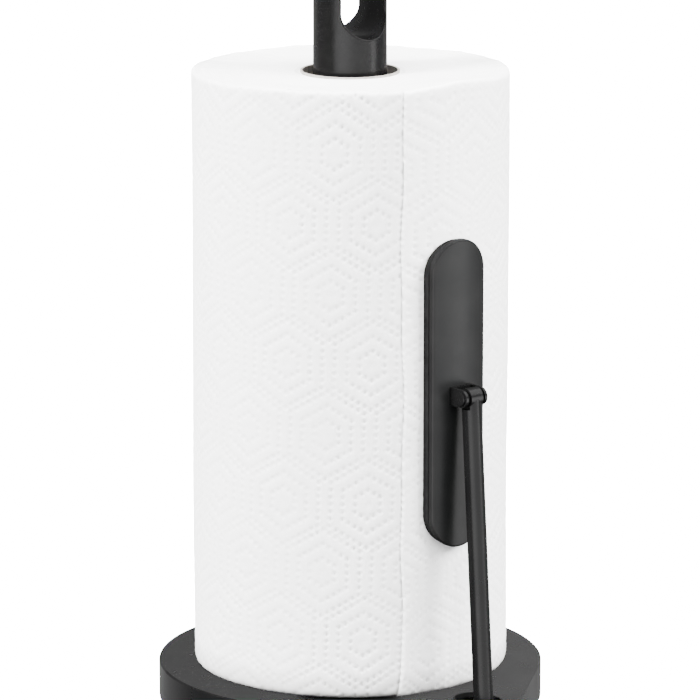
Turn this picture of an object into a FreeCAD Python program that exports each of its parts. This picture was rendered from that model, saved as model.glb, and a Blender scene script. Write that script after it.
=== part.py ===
"""Paper towel holder with a sprung tension arm, as a parametric FreeCAD document.

The origin is on the spindle's axis at the surface the holder stands on. +Z is up and +X points
from the spindle to the arm. Sizes are in millimetres and live in the sheet "Dims".
"""

import FreeCAD, Part
import math
import os
import Sketcher

Vector = FreeCAD.Vector
Rotation = FreeCAD.Rotation
Placement = FreeCAD.Placement

DIMENSIONS = {
    # base outline: a disc drawn out by two straight tangents to a round tip under the arm
    "base_radius": 90.0,
    "tip_radius": 22.0,
    "tip_offset": 89.3,
    # heights in the base, from the table up
    "base_top": 19.0,
    "skirt_bottom": 1.0,
    "cover_wall": 1.6,
    "cover_top_round": 0.8,
    "cover_bottom_round": 0.8,
    "mat_thickness": 1.6,
    "mat_inset": 4.0,
    "plate_thickness": 1.2,
    "plate_inset": 2.2,
    "ballast_bottom": 5.4,
    "ballast_inset": 2.4,
    "ballast_edge": 1.0,
    "ballast_boss_radius": 5.0,
    "ballast_boss_circle": 76.0,
    "arm_notch_start": 80.0,
    "arm_notch_width": 28.0,
    # slot that the arm comes out of, with its plastic collar
    "slot_width": 17.6,
    "slot_inner_end": 81.5,
    "slot_outer_end": 104.5,
    "collar_wall": 0.8,
    "collar_depth": 2.1,
    "collar_rim": 0.2,
    # spindle
    "tube_radius": 17.0,
    "tube_wall": 1.6,
    "tube_top": 285.0,
    "lower_insert_height": 22.0,
    "upper_insert_height": 18.0,
    "spindle_top": 365.0,
    "stud_radius": 5.0,
    "stud_length": 14.0,
    "finial_top_round": 1.5,
    "eye_half_width": 11.9,
    "eye_bottom": 314.7,
    "eye_top": 354.0,
    "eye_turn": -4.4,
    "eye_round": 0.8,
    # bolt through the base into the spindle
    "bolt_radius": 4.0,
    "bolt_clearance_radius": 4.3,
    "bolt_end": 37.0,
    "bolt_head_height": 4.0,
    "bolt_head_across_flats": 13.0,
    "washer_radius": 8.0,
    "washer_thickness": 1.6,
    "lock_washer_radius": 6.6,
    "lock_washer_gap": 1.2,
    "counterbore_radius": 9.5,
    "counterbore_ceiling": 11.4,
    # countersunk screws that hold the bottom plate
    "screw_radius": 1.5,
    "screw_head_radius": 2.6,
    "screw_head_height": 1.1,
    "screw_end": 10.0,
    # arm pivot under the slot
    "pivot_x": 97.5,
    "pivot_z": 11.0,
    "arm_lean": 3.97,
    "shaft_radius": 2.5,
    "shaft_half_length": 12.8,
    "clip_groove_radius": 1.9,
    "clip_thickness": 0.6,
    "clip_radius": 4.2,
    "ear_inner": 10.0,
    "ear_thickness": 1.5,
    "ear_half_width": 6.0,
    "ear_top": 16.0,
    "bracket_thickness": 1.5,
    "bracket_start": 59.0,
    "bracket_end": 103.5,
    "bracket_half_width": 12.5,
    "bracket_screw_near": 65.0,
    "bracket_screw_far": 74.0,
    "bracket_screw_side": 8.0,
    "bracket_screw_head_radius": 2.6,
    "bracket_screw_head_height": 0.9,
    "hub_radius": 4.8,
    "hub_half_length": 4.6,
    "bush_radius": 3.5,
    "bush_bore_radius": 2.55,
    "bush_flange_radius": 4.4,
    "bush_flange_thickness": 0.6,
    "bush_length": 4.3,
    "neck_length": 6.5,
    "spigot_radius": 2.2,
    "spigot_length": 2.7,
    # double torsion spring on the shaft
    "spring_radius": 5.05,
    "wire_radius": 0.45,
    "spring_outer_y": 9.35,
    "spring_inner_y": 5.75,
    "spring_turns": 3.25,
    "spring_leg": 14.0,
    "spring_rise": 5.2,
    # arm rod and its eye
    "rod_radius": 4.5,
    "eye_z": 160.0,
    "tongue_half_thickness": 3.4,
    "tongue_reach": 5.2,
    "eye_bush_half_length": 4.6,
    "eye_bush_radius": 3.0,
    "eye_bush_bore_radius": 2.05,
    # pad that presses on the roll
    "liner_inner_radius": 73.7,
    "liner_half_width": 15.6,
    "liner_half_length": 70.8,
    "shell_inner_radius": 77.0,
    "shell_outer_radius": 79.5,
    "shell_half_width": 15.2,
    "shell_half_length": 71.6,
    "shell_edge": 1.1,
    "clevis_inner": 4.9,
    "clevis_outer": 6.2,
    "clevis_radius": 4.1,
    "clevis_web": 81.3,
    "pin_radius": 2.0,
    "pin_head_radius": 3.1,
    "pin_head_height": 0.9,
    "pin_end": 7.4,
    "pin_clip_thickness": 0.6,
    "pin_clip_radius": 3.2,
    "pin_groove_radius": 1.5,
    "rivet_radius": 1.2,
    "rivet_side": 3.0,
    # reach of a cutting shape past the piece it cuts, and the plate left under a countersink
    "cut_margin": 1.0,
    "countersink_land": 0.01,
    # roll of paper towels
    "roll_bottom": 19.3,
    "roll_height": 279.4,
    "core_inner_radius": 22.0,
    "core_outer_radius": 23.0,
    "roll_radius": 73.0,
    "sheet_inner_radius": 73.05,
    "sheet_outer_radius": 73.4,
    "sheet_start_angle": -21.4,
    "sheet_wrap": 219.0,
}
BOSS_ANGLES = (60.0, 120.0, 180.0, 240.0, 300.0)
BIG = 400.0  # reach of a cut that must pass right through a piece
CLOSE = 0.01  # how near an edge must lie to a place to count as being there
PIN_X = "Dims.pivot_x - (Dims.eye_z - Dims.pivot_z) * tan(Dims.arm_lean * 1 deg)"

doc = FreeCAD.newDocument("paper_towel_holder")
sheet = doc.addObject("Spreadsheet::Sheet", "Dims")
for row, (alias, value) in enumerate(DIMENSIONS.items(), start=1):
    sheet.set(f"A{row}", alias)
    sheet.set(f"B{row}", str(value))
    sheet.setAlias(f"B{row}", alias)
doc.recompute()

sub_parts = []


def dim(alias):
    """A driving dimension's value, for the start values of a sketch and for plain shapes."""
    return float(getattr(sheet, alias))


def keep(piece, label):
    """Name a finished sub-part; its label is its file's name."""
    piece.Label = label
    sub_parts.append(piece)
    return piece


# --- sketches and part design features ---------------------------------------------------------


def origin_plane(body, role):
    return next(item for item in body.Origin.OriginFeatures if item.Role == role)


def new_body(label):
    return keep(doc.addObject("PartDesign::Body", "Body_" + label), label)


def new_sketch(body, role, height=None):
    """A sketch on one of the body's origin planes, raised by the expression given in height."""
    sketch = body.newObject("Sketcher::SketchObject", "Sketch")
    sketch.AttachmentSupport = (origin_plane(body, role), [""])
    sketch.MapMode = "FlatFace"
    if height is not None:
        sketch.setExpression("AttachmentOffset.Base.z", height)
    return sketch


def bind(sketch, constraint, expression):
    """Add a constraint and drive it from the sheet."""
    index = sketch.addConstraint(constraint)
    sketch.setExpression(f"Constraints[{index}]", expression)


def value_of(expression):
    """The value an expression of sheet cells has now, worked out by the document itself."""
    return float(sheet.evalExpression(expression))


def add_circle(sketch, x, y, radius):
    """A circle; x, y and radius are expressions, and None stands for zero."""
    centre = Vector(0 if x is None else value_of(x), 0 if y is None else value_of(y), 0)
    size = value_of(radius)
    number = sketch.addGeometry(Part.Circle(centre, Vector(0, 0, 1), size), False)
    bind(sketch, Sketcher.Constraint("Radius", number, size), radius)
    if x is None and y is None:
        sketch.addConstraint(Sketcher.Constraint("Coincident", number, 3, -1, 1))
        return
    if x is None:
        sketch.addConstraint(Sketcher.Constraint("PointOnObject", number, 3, -2))
    else:
        bind(sketch, Sketcher.Constraint("DistanceX", number, 3, centre.x), x)
    if y is None:
        sketch.addConstraint(Sketcher.Constraint("PointOnObject", number, 3, -1))
    else:
        bind(sketch, Sketcher.Constraint("DistanceY", number, 3, centre.y), y)


def add_rectangle(sketch, x_low, x_high, y_low, y_high):
    """A rectangle between four expressions."""
    x0, x1, y0, y1 = (value_of(side) for side in (x_low, x_high, y_low, y_high))
    corners = [Vector(x0, y0, 0), Vector(x1, y0, 0), Vector(x1, y1, 0), Vector(x0, y1, 0)]
    lines = [
        sketch.addGeometry(Part.LineSegment(corners[i], corners[(i + 1) % 4]), False)
        for i in range(4)
    ]
    for i in range(4):
        sketch.addConstraint(
            Sketcher.Constraint("Coincident", lines[i], 2, lines[(i + 1) % 4], 1)
        )
    for i, kind in enumerate(("Horizontal", "Vertical", "Horizontal", "Vertical")):
        sketch.addConstraint(Sketcher.Constraint(kind, lines[i]))
    bind(sketch, Sketcher.Constraint("DistanceX", lines[0], 1, x0), x_low)
    bind(sketch, Sketcher.Constraint("DistanceY", lines[0], 1, y0), y_low)
    bind(sketch, Sketcher.Constraint("DistanceX", lines[2], 1, x1), x_high)
    bind(sketch, Sketcher.Constraint("DistanceY", lines[2], 1, y1), y_high)


def add_capsule(sketch, low, high, radius, upright=False):
    """Two circles' hull: round ends of one radius centred on an axis at low and high."""
    near, far, size = value_of(low), value_of(high), value_of(radius)
    if upright:
        along, across = Vector(0, 1, 0), Vector(1, 0, 0)
    else:
        along, across = Vector(1, 0, 0), Vector(0, -1, 0)
    start, end = along * near, along * far
    side = across * size
    turn = math.atan2(side.y, side.x)
    far_arc = Part.ArcOfCircle(Part.Circle(end, Vector(0, 0, 1), size), turn, turn + math.pi)
    near_arc = Part.ArcOfCircle(
        Part.Circle(start, Vector(0, 0, 1), size), turn + math.pi, turn + 2 * math.pi
    )
    geometry = [
        far_arc,
        Part.LineSegment(end - side, start - side),
        near_arc,
        Part.LineSegment(start + side, end + side),
    ]
    numbers = [sketch.addGeometry(item, False) for item in geometry]
    far_arc, second_side, near_arc, first_side = numbers
    loop = (far_arc, second_side, near_arc, first_side, far_arc)
    for first, second in zip(loop, loop[1:]):
        sketch.addConstraint(Sketcher.Constraint("Tangent", first, 2, second, 1))
    axis = -2 if upright else -1
    distance = "DistanceY" if upright else "DistanceX"
    sketch.addConstraint(Sketcher.Constraint("PointOnObject", far_arc, 3, axis))
    sketch.addConstraint(Sketcher.Constraint("PointOnObject", near_arc, 3, axis))
    bind(sketch, Sketcher.Constraint("Radius", far_arc, size), radius)
    bind(sketch, Sketcher.Constraint(distance, far_arc, 3, far), high)
    bind(sketch, Sketcher.Constraint(distance, near_arc, 3, near), low)


def add_teardrop(sketch, inset):
    """The base's outline drawn in by an inset: a big arc, a tip arc and their two tangents."""
    big = f"Dims.base_radius - {inset}"
    tip = f"Dims.tip_radius - {inset}"
    big_radius, tip_radius, offset = value_of(big), value_of(tip), dim("tip_offset")
    turn = math.acos((big_radius - tip_radius) / offset)
    centre = Vector(offset, 0, 0)
    up = Vector(0, 0, 1)
    upper = Vector(math.cos(turn), math.sin(turn), 0)
    lower = Vector(math.cos(turn), -math.sin(turn), 0)
    big_arc = sketch.addGeometry(
        Part.ArcOfCircle(Part.Circle(Vector(0, 0, 0), up, big_radius), turn, 2 * math.pi - turn), False
    )
    low_side = sketch.addGeometry(
        Part.LineSegment(lower * big_radius, centre + lower * tip_radius), False
    )
    tip_arc = sketch.addGeometry(
        Part.ArcOfCircle(Part.Circle(centre, up, tip_radius), -turn, turn), False
    )
    high_side = sketch.addGeometry(
        Part.LineSegment(centre + upper * tip_radius, upper * big_radius), False
    )
    loop = (big_arc, low_side, tip_arc, high_side, big_arc)
    for first, second in zip(loop, loop[1:]):
        sketch.addConstraint(Sketcher.Constraint("Tangent", first, 2, second, 1))
    sketch.addConstraint(Sketcher.Constraint("Coincident", big_arc, 3, -1, 1))
    sketch.addConstraint(Sketcher.Constraint("PointOnObject", tip_arc, 3, -1))
    bind(sketch, Sketcher.Constraint("Radius", big_arc, big_radius), big)
    bind(sketch, Sketcher.Constraint("Radius", tip_arc, tip_radius), tip)
    bind(sketch, Sketcher.Constraint("DistanceX", tip_arc, 3, offset), "Dims.tip_offset")


def add_feature(body, kind, sketch, length=None, reverse=False, through=False, middle=False):
    """A pad or pocket of a sketch. A pocket that removes nothing is an error."""
    before = body.Shape.Volume if kind == "Pocket" else 0
    feature = body.newObject("PartDesign::" + kind, kind)
    feature.Profile = sketch
    feature.Reversed = reverse
    if middle:
        feature.SideType = "Symmetric"
    if through:
        feature.Length = BIG
    else:
        feature.setExpression("Length", length)
    doc.recompute()
    if kind == "Pocket" and body.Shape.Volume > before - CLOSE:
        raise ValueError(f"{body.Label}: a pocket cuts nothing")
    return feature


def turn_feature(body, kind, sketch, role):
    """A revolution or groove of a sketch right round one of the body's axes."""
    before = body.Shape.Volume if kind == "Groove" else 0
    feature = body.newObject("PartDesign::" + kind, kind)
    feature.Profile = sketch
    feature.ReferenceAxis = (origin_plane(body, role), [""])
    feature.Angle = 360.0
    doc.recompute()
    if kind == "Groove" and body.Shape.Volume > before - CLOSE:
        raise ValueError(f"{body.Label}: a groove cuts nothing")
    return feature


def round_edges(body, size, wanted, kind="Fillet"):
    """Fillet or chamfer the edges of the body's last feature for which wanted(edge) is true."""
    base = body.Tip
    names = [f"Edge{i}" for i, edge in enumerate(base.Shape.Edges, start=1) if wanted(edge)]
    if not names:
        raise ValueError(f"{body.Label}: no edge to round")
    feature = body.newObject("PartDesign::" + kind, kind)
    feature.Base = (base, names)
    feature.setExpression("Radius" if kind == "Fillet" else "Size", size)
    doc.recompute()
    return feature


def at_height(height):
    """A test for edges that lie wholly at one height."""
    return lambda edge: (
        abs(edge.BoundBox.ZMin - height) < CLOSE and abs(edge.BoundBox.ZMax - height) < CLOSE
    )


# --- primitives ----------------------------------------------------------------------------------


def cylinder(radius, length, x="0", y="0", z="0", axis="Z"):
    """A cylinder from expressions, starting at x, y, z and running along one of the axes."""
    item = doc.addObject("Part::Cylinder", "Cylinder")
    item.setExpression("Radius", radius)
    item.setExpression("Height", length)
    if axis == "Y":
        item.Placement = Placement(Vector(0, 0, 0), Rotation(Vector(1, 0, 0), -90))
    if axis == "X":
        item.Placement = Placement(Vector(0, 0, 0), Rotation(Vector(0, 1, 0), 90))
    for name, expression in zip("xyz", (x, y, z)):
        item.setExpression(f"Placement.Base.{name}", expression)
    return item


def box(x_low, x_high, y_low, y_high, z_low, z_high):
    """A box between six expressions."""
    item = doc.addObject("Part::Box", "Box")
    for side, low, high in (
        ("Length", x_low, x_high),
        ("Width", y_low, y_high),
        ("Height", z_low, z_high),
    ):
        item.setExpression(side, f"({high}) - ({low})")
    for name, low in zip("xyz", (x_low, y_low, z_low)):
        item.setExpression(f"Placement.Base.{name}", low)
    return item


def fuse(*items):
    joined = doc.addObject("Part::MultiFuse", "Fuse")
    joined.Shapes = list(items)
    return joined


def cut(base, tool):
    result = doc.addObject("Part::Cut", "Cut")
    result.Base = base
    result.Tool = tool
    return result


def group(items, label):
    """Separate solids of one sort in one node."""
    gathered = doc.addObject("Part::Compound", "Group")
    gathered.Links = list(items)
    return keep(gathered, label)


def lean_placement(along):
    """Placement on the arm's axis, a distance above the pivot, with local +Z up the rod."""
    lean = math.radians(dim("arm_lean"))
    direction = Vector(-math.sin(lean), 0, math.cos(lean))
    pivot = Vector(dim("pivot_x"), 0, dim("pivot_z"))
    return Placement(pivot + direction * along, Rotation(Vector(0, 1, 0), -dim("arm_lean")))


# --- base ------------------------------------------------------------------------------------------


def make_base_cover():
    """Pressed steel cover: a shallow teardrop pan, open below, with the arm's slot in its top."""
    body = new_body("base_cover")
    outline = new_sketch(body, "XY_Plane", "Dims.skirt_bottom")
    add_teardrop(outline, "0")
    add_feature(body, "Pad", outline, "Dims.base_top - Dims.skirt_bottom")
    round_edges(body, "Dims.cover_top_round", at_height(dim("base_top")))
    round_edges(body, "Dims.cover_bottom_round", at_height(dim("skirt_bottom")))
    inside = new_sketch(body, "XY_Plane", "Dims.skirt_bottom")
    add_teardrop(inside, "Dims.cover_wall")
    add_feature(
        body, "Pocket", inside, "Dims.base_top - Dims.skirt_bottom - Dims.cover_wall", reverse=True
    )
    slot = new_sketch(body, "XY_Plane", "Dims.base_top")
    add_capsule(
        slot,
        "Dims.slot_inner_end + Dims.slot_width / 2",
        "Dims.slot_outer_end - Dims.slot_width / 2",
        "Dims.slot_width / 2 + Dims.collar_wall",
    )
    add_feature(body, "Pocket", slot, "Dims.cover_wall + Dims.cut_margin")
    bolt_hole = new_sketch(body, "XY_Plane", "Dims.base_top")
    add_circle(bolt_hole, None, None, "Dims.bolt_clearance_radius")
    add_feature(body, "Pocket", bolt_hole, "Dims.cover_wall + Dims.cut_margin")


def boss_circles(sketch, radius):
    for angle in BOSS_ANGLES:
        add_circle(
            sketch,
            f"Dims.ballast_boss_circle * cos({angle} deg)",
            f"Dims.ballast_boss_circle * sin({angle} deg)",
            radius,
        )


def make_ballast_plate():
    """Cast iron weight that fills the cover, notched for the pivot, with bosses for the screws."""
    body = new_body("ballast_weight")
    outline = new_sketch(body, "XY_Plane", "Dims.ballast_bottom")
    add_teardrop(outline, "Dims.ballast_inset")
    add_feature(
        body, "Pad", outline, "Dims.base_top - Dims.cover_wall - Dims.ballast_bottom"
    )
    round_edges(
        body, "Dims.ballast_edge", at_height(dim("base_top") - dim("cover_wall")), "Chamfer"
    )
    notch = new_sketch(body, "XY_Plane", "Dims.base_top")
    add_rectangle(
        notch,
        "Dims.arm_notch_start",
        "Dims.tip_offset + Dims.tip_radius",
        "-Dims.arm_notch_width / 2",
        "Dims.arm_notch_width / 2",
    )
    add_feature(body, "Pocket", notch, through=True)
    bosses = new_sketch(body, "XY_Plane", "Dims.mat_thickness + Dims.plate_thickness")
    boss_circles(bosses, "Dims.ballast_boss_radius")
    add_feature(
        body,
        "Pad",
        bosses,
        "Dims.ballast_bottom - Dims.mat_thickness - Dims.plate_thickness",
    )
    screw_holes = new_sketch(body, "XY_Plane", "Dims.mat_thickness + Dims.plate_thickness")
    boss_circles(screw_holes, "Dims.screw_radius")
    add_feature(
        body,
        "Pocket",
        screw_holes,
        "Dims.screw_end + Dims.cut_margin - Dims.mat_thickness - Dims.plate_thickness",
        reverse=True,
    )
    bracket_holes = new_sketch(body, "XY_Plane", "Dims.ballast_bottom")
    for x in ("Dims.bracket_screw_near", "Dims.bracket_screw_far"):
        for side in ("-", ""):
            add_circle(bracket_holes, x, side + "Dims.bracket_screw_side", "Dims.screw_radius")
    add_feature(
        body,
        "Pocket",
        bracket_holes,
        "Dims.screw_end + Dims.cut_margin - Dims.ballast_bottom",
        reverse=True,
    )
    counterbore = new_sketch(body, "XY_Plane", "Dims.ballast_bottom")
    add_circle(counterbore, None, None, "Dims.counterbore_radius")
    add_feature(
        body,
        "Pocket",
        counterbore,
        "Dims.counterbore_ceiling - Dims.ballast_bottom",
        reverse=True,
    )
    bolt_hole = new_sketch(body, "XY_Plane", "Dims.base_top")
    add_circle(bolt_hole, None, None, "Dims.bolt_clearance_radius")
    add_feature(body, "Pocket", bolt_hole, through=True)


def make_bottom_plate():
    """Steel sheet that closes the cover from below, with countersunk screw holes."""
    body = new_body("bottom_plate")
    outline = new_sketch(body, "XY_Plane", "Dims.mat_thickness")
    add_teardrop(outline, "Dims.plate_inset")
    add_feature(body, "Pad", outline, "Dims.plate_thickness")
    holes = new_sketch(body, "XY_Plane", "Dims.mat_thickness")
    boss_circles(holes, "Dims.screw_radius")
    add_feature(body, "Pocket", holes, "Dims.plate_thickness", reverse=True)
    bottom = dim("mat_thickness")
    round_edges(
        body,
        "Dims.plate_thickness - Dims.countersink_land",
        lambda edge: at_height(bottom)(edge)
        and abs(getattr(edge.Curve, "Radius", 0) - dim("screw_radius")) < CLOSE,
        "Chamfer",
    )


def make_foot_mat():
    """Rubber mat glued under the plate; it is what stands on the table."""
    body = new_body("non_slip_foot_mat")
    outline = new_sketch(body, "XY_Plane")
    add_teardrop(outline, "Dims.mat_inset")
    add_feature(body, "Pad", outline, "Dims.mat_thickness")


def make_bottom_screws():
    """Five countersunk screws, flush with the plate's underside."""
    screws = []
    for angle in BOSS_ANGLES:
        x = f"Dims.ballast_boss_circle * cos({angle} deg)"
        y = f"Dims.ballast_boss_circle * sin({angle} deg)"
        shank = cylinder(
            "Dims.screw_radius", "Dims.screw_end - Dims.mat_thickness", x, y, "Dims.mat_thickness"
        )
        head = doc.addObject("Part::Cone", "Cone")
        head.setExpression("Radius1", "Dims.screw_head_radius")
        head.setExpression("Radius2", "Dims.screw_radius")
        head.setExpression("Height", "Dims.screw_head_height")
        for name, expression in zip("xyz", (x, y, "Dims.mat_thickness")):
            head.setExpression(f"Placement.Base.{name}", expression)
        screws.append(fuse(shank, head))
    group(screws, "bottom_screws")


def make_slot_collar():
    """Plastic collar lining the slot, a hair proud of the cover."""
    body = new_body("slot_collar")
    ends = (
        "Dims.slot_inner_end + Dims.slot_width / 2",
        "Dims.slot_outer_end - Dims.slot_width / 2",
    )
    bottom = "Dims.base_top - Dims.collar_depth"
    outer = new_sketch(body, "XY_Plane", bottom)
    add_capsule(outer, *ends, "Dims.slot_width / 2 + Dims.collar_wall")
    add_feature(body, "Pad", outer, "Dims.collar_depth + Dims.collar_rim")
    inner = new_sketch(body, "XY_Plane", bottom)
    add_capsule(inner, *ends, "Dims.slot_width / 2")
    add_feature(body, "Pocket", inner, "Dims.collar_depth + Dims.collar_rim", reverse=True)


# --- spindle ---------------------------------------------------------------------------------------


def make_spindle_tube():
    """Steel tube from the cover's top to just inside the roll's upper end."""
    body = new_body("spindle_tube")
    ring = new_sketch(body, "XY_Plane", "Dims.base_top")
    add_circle(ring, None, None, "Dims.tube_radius")
    add_circle(ring, None, None, "Dims.tube_radius - Dims.tube_wall")
    add_feature(body, "Pad", ring, "Dims.tube_top - Dims.base_top")


def make_insert(label, bottom, height, bore):
    """Threaded plug pressed into an end of the tube."""
    body = new_body(label)
    ring = new_sketch(body, "XY_Plane", bottom)
    add_circle(ring, None, None, "Dims.tube_radius - Dims.tube_wall")
    add_circle(ring, None, None, bore)
    add_feature(body, "Pad", ring, height)


def make_finial():
    """Solid head of the spindle: a round bar with a long eye through it and a stud below."""
    body = new_body("finial_with_eye")
    disc = new_sketch(body, "XY_Plane", "Dims.tube_top")
    add_circle(disc, None, None, "Dims.tube_radius")
    add_feature(body, "Pad", disc, "Dims.spindle_top - Dims.tube_top")
    round_edges(body, "Dims.finial_top_round", at_height(dim("spindle_top")))
    eye = new_sketch(body, "YZ_Plane")
    add_capsule(
        eye,
        "Dims.eye_bottom + Dims.eye_half_width",
        "Dims.eye_top - Dims.eye_half_width",
        "Dims.eye_half_width",
        upright=True,
    )
    add_feature(body, "Pocket", eye, through=True, middle=True)
    low, high = dim("eye_bottom") - CLOSE, dim("eye_top") + CLOSE
    round_edges(
        body,
        "Dims.eye_round",
        lambda edge: edge.BoundBox.ZMin > low
        and edge.BoundBox.ZMax < high
        and not (edge.BoundBox.XMin < 0 < edge.BoundBox.XMax),
    )
    stud = new_sketch(body, "XY_Plane", "Dims.tube_top - Dims.stud_length")
    add_circle(stud, None, None, "Dims.stud_radius")
    add_feature(body, "Pad", stud, "Dims.stud_length")
    body.Placement = Placement(Vector(0, 0, 0), Rotation(Vector(0, 0, 1), dim("eye_turn")))


def make_centre_bolt():
    """Hex bolt up through the weight and the cover into the tube's lower insert."""
    top = "Dims.counterbore_ceiling - 2 * Dims.washer_thickness"
    head = doc.addObject("Part::Prism", "Prism")
    head.Polygon = 6
    head.setExpression("Circumradius", "Dims.bolt_head_across_flats / 2 / cos(30 deg)")
    head.setExpression("Height", "Dims.bolt_head_height")
    head.setExpression("Placement.Base.z", top + " - Dims.bolt_head_height")
    shank = cylinder("Dims.bolt_radius", f"Dims.bolt_end - ({top})", z=top)
    keep(fuse(head, shank), "centre_bolt")


def make_washers():
    """Flat washer against the weight and a split lock washer under the bolt's head."""
    washer_bottom = "Dims.counterbore_ceiling - Dims.washer_thickness"
    washer = cut(
        cylinder("Dims.washer_radius", "Dims.washer_thickness", z=washer_bottom),
        cylinder("Dims.bolt_clearance_radius", "Dims.washer_thickness", z=washer_bottom),
    )
    keep(washer, "centre_washer")
    lock_bottom = "Dims.counterbore_ceiling - 2 * Dims.washer_thickness"
    ring = cut(
        cylinder("Dims.lock_washer_radius", "Dims.washer_thickness", z=lock_bottom),
        cylinder("Dims.bolt_clearance_radius", "Dims.washer_thickness", z=lock_bottom),
    )
    split = box(
        "0",
        "Dims.lock_washer_radius + Dims.cut_margin",
        "-Dims.lock_washer_gap / 2",
        "Dims.lock_washer_gap / 2",
        lock_bottom,
        washer_bottom,
    )
    keep(cut(ring, split), "centre_lock_washer")


# --- arm pivot ---------------------------------------------------------------------------------------


def make_pivot_bracket():
    """Steel bracket under the weight, with two ears bent up through the notch."""
    body = new_body("pivot_bracket")
    plate = new_sketch(body, "XY_Plane", "Dims.ballast_bottom - Dims.bracket_thickness")
    add_rectangle(
        plate,
        "Dims.bracket_start",
        "Dims.bracket_end",
        "-Dims.bracket_half_width",
        "Dims.bracket_half_width",
    )
    add_feature(body, "Pad", plate, "Dims.bracket_thickness")
    for low, high in (
        ("Dims.ear_inner", "Dims.ear_inner + Dims.ear_thickness"),
        ("-Dims.ear_inner - Dims.ear_thickness", "-Dims.ear_inner"),
    ):
        ear = new_sketch(body, "XY_Plane", "Dims.ballast_bottom")
        add_rectangle(
            ear,
            "Dims.pivot_x - Dims.ear_half_width",
            "Dims.pivot_x + Dims.ear_half_width",
            low,
            high,
        )
        add_feature(body, "Pad", ear, "Dims.ear_top - Dims.ballast_bottom")
    shaft_hole = new_sketch(body, "XZ_Plane")
    add_circle(shaft_hole, "Dims.pivot_x", "Dims.pivot_z", "Dims.shaft_radius")
    add_feature(body, "Pocket", shaft_hole, through=True, middle=True)
    screw_holes = new_sketch(body, "XY_Plane", "Dims.ballast_bottom")
    for x in ("Dims.bracket_screw_near", "Dims.bracket_screw_far"):
        for side in ("-", ""):
            add_circle(screw_holes, x, side + "Dims.bracket_screw_side", "Dims.screw_radius")
    add_feature(body, "Pocket", screw_holes, "Dims.bracket_thickness")
    at_top = at_height(dim("ear_top"))
    round_edges(
        body,
        "Dims.ear_half_width / 2",
        lambda edge: at_top(edge) and edge.BoundBox.XLength < CLOSE,
    )


def make_bracket_screws():
    """Four pan head screws up through the bracket into the weight."""
    screws = []
    seat = "Dims.ballast_bottom - Dims.bracket_thickness"
    for x in ("Dims.bracket_screw_near", "Dims.bracket_screw_far"):
        for side in ("-", ""):
            y = side + "Dims.bracket_screw_side"
            shank = cylinder("Dims.screw_radius", f"Dims.screw_end - ({seat})", x, y, seat)
            head = cylinder(
                "Dims.bracket_screw_head_radius",
                "Dims.bracket_screw_head_height",
                x,
                y,
                seat + " - Dims.bracket_screw_head_height",
            )
            screws.append(fuse(shank, head))
    group(screws, "bracket_screws")


def make_pivot_shaft():
    """Steel pin across the ears, grooved near both ends for its clips."""
    half = "Dims.shaft_half_length"
    solid = cylinder(
        "Dims.shaft_radius", f"2 * {half}", "Dims.pivot_x", f"-{half}", "Dims.pivot_z", "Y"
    )
    grooves = []
    clips = []
    seat = "Dims.ear_inner + Dims.ear_thickness"
    for start in (seat, f"-({seat}) - Dims.clip_thickness"):
        place = ("Dims.pivot_x", start, "Dims.pivot_z", "Y")
        ring = cut(
            cylinder("Dims.shaft_radius + Dims.cut_margin", "Dims.clip_thickness", *place),
            cylinder("Dims.clip_groove_radius", "Dims.clip_thickness", *place),
        )
        grooves.append(ring)
        washer = cut(
            cylinder("Dims.clip_radius", "Dims.clip_thickness", *place),
            cylinder("Dims.clip_groove_radius", "Dims.clip_thickness", *place),
        )
        mouth = box(
            "Dims.pivot_x - Dims.clip_groove_radius",
            "Dims.pivot_x + Dims.clip_groove_radius",
            start,
            f"{start} + Dims.clip_thickness",
            "Dims.pivot_z",
            "Dims.pivot_z + Dims.clip_radius + Dims.cut_margin",
        )
        clips.append(cut(washer, mouth))
    keep(cut(solid, fuse(*grooves)), "pivot_shaft")
    group(clips, "pivot_shaft_clips")


def make_arm_hub():
    """Hub on the shaft with a short neck that the rod screws into."""
    half = "Dims.hub_half_length"
    barrel = cylinder(
        "Dims.hub_radius", f"2 * {half}", "Dims.pivot_x", f"-{half}", "Dims.pivot_z", "Y"
    )
    neck = doc.addObject("Part::Cylinder", "Neck")
    neck.setExpression("Radius", "Dims.rod_radius")
    neck.setExpression("Height", "Dims.neck_length")
    neck.Placement = lean_placement(0)
    bore = cylinder(
        "Dims.bush_radius",
        f"2 * ({half} + Dims.cut_margin)",
        "Dims.pivot_x",
        f"-{half} - Dims.cut_margin",
        "Dims.pivot_z",
        "Y",
    )
    socket = doc.addObject("Part::Cylinder", "Socket")
    socket.setExpression("Radius", "Dims.spigot_radius")
    socket.setExpression("Height", "Dims.spigot_length + Dims.cut_margin")
    socket.Placement = lean_placement(dim("neck_length") - dim("spigot_length"))
    keep(cut(fuse(barrel, neck), fuse(bore, socket)), "arm_hub")


def make_pivot_bushes():
    """Two flanged nylon bushes in the hub."""
    bushes = []
    seat = "Dims.hub_half_length"
    for sleeve_start, flange_start in (
        (f"{seat} - Dims.bush_length", seat),
        (f"-{seat}", f"-{seat} - Dims.bush_flange_thickness"),
    ):
        sleeve = cylinder(
            "Dims.bush_radius", "Dims.bush_length", "Dims.pivot_x", sleeve_start, "Dims.pivot_z", "Y"
        )
        flange = cylinder(
            "Dims.bush_flange_radius",
            "Dims.bush_flange_thickness",
            "Dims.pivot_x",
            flange_start,
            "Dims.pivot_z",
            "Y",
        )
        bore = cylinder(
            "Dims.bush_bore_radius",
            "4 * Dims.bush_length",
            "Dims.pivot_x",
            f"{sleeve_start} - Dims.bush_length",
            "Dims.pivot_z",
            "Y",
        )
        bushes.append(cut(fuse(sleeve, flange), bore))
    group(bushes, "pivot_bushes")


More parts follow.
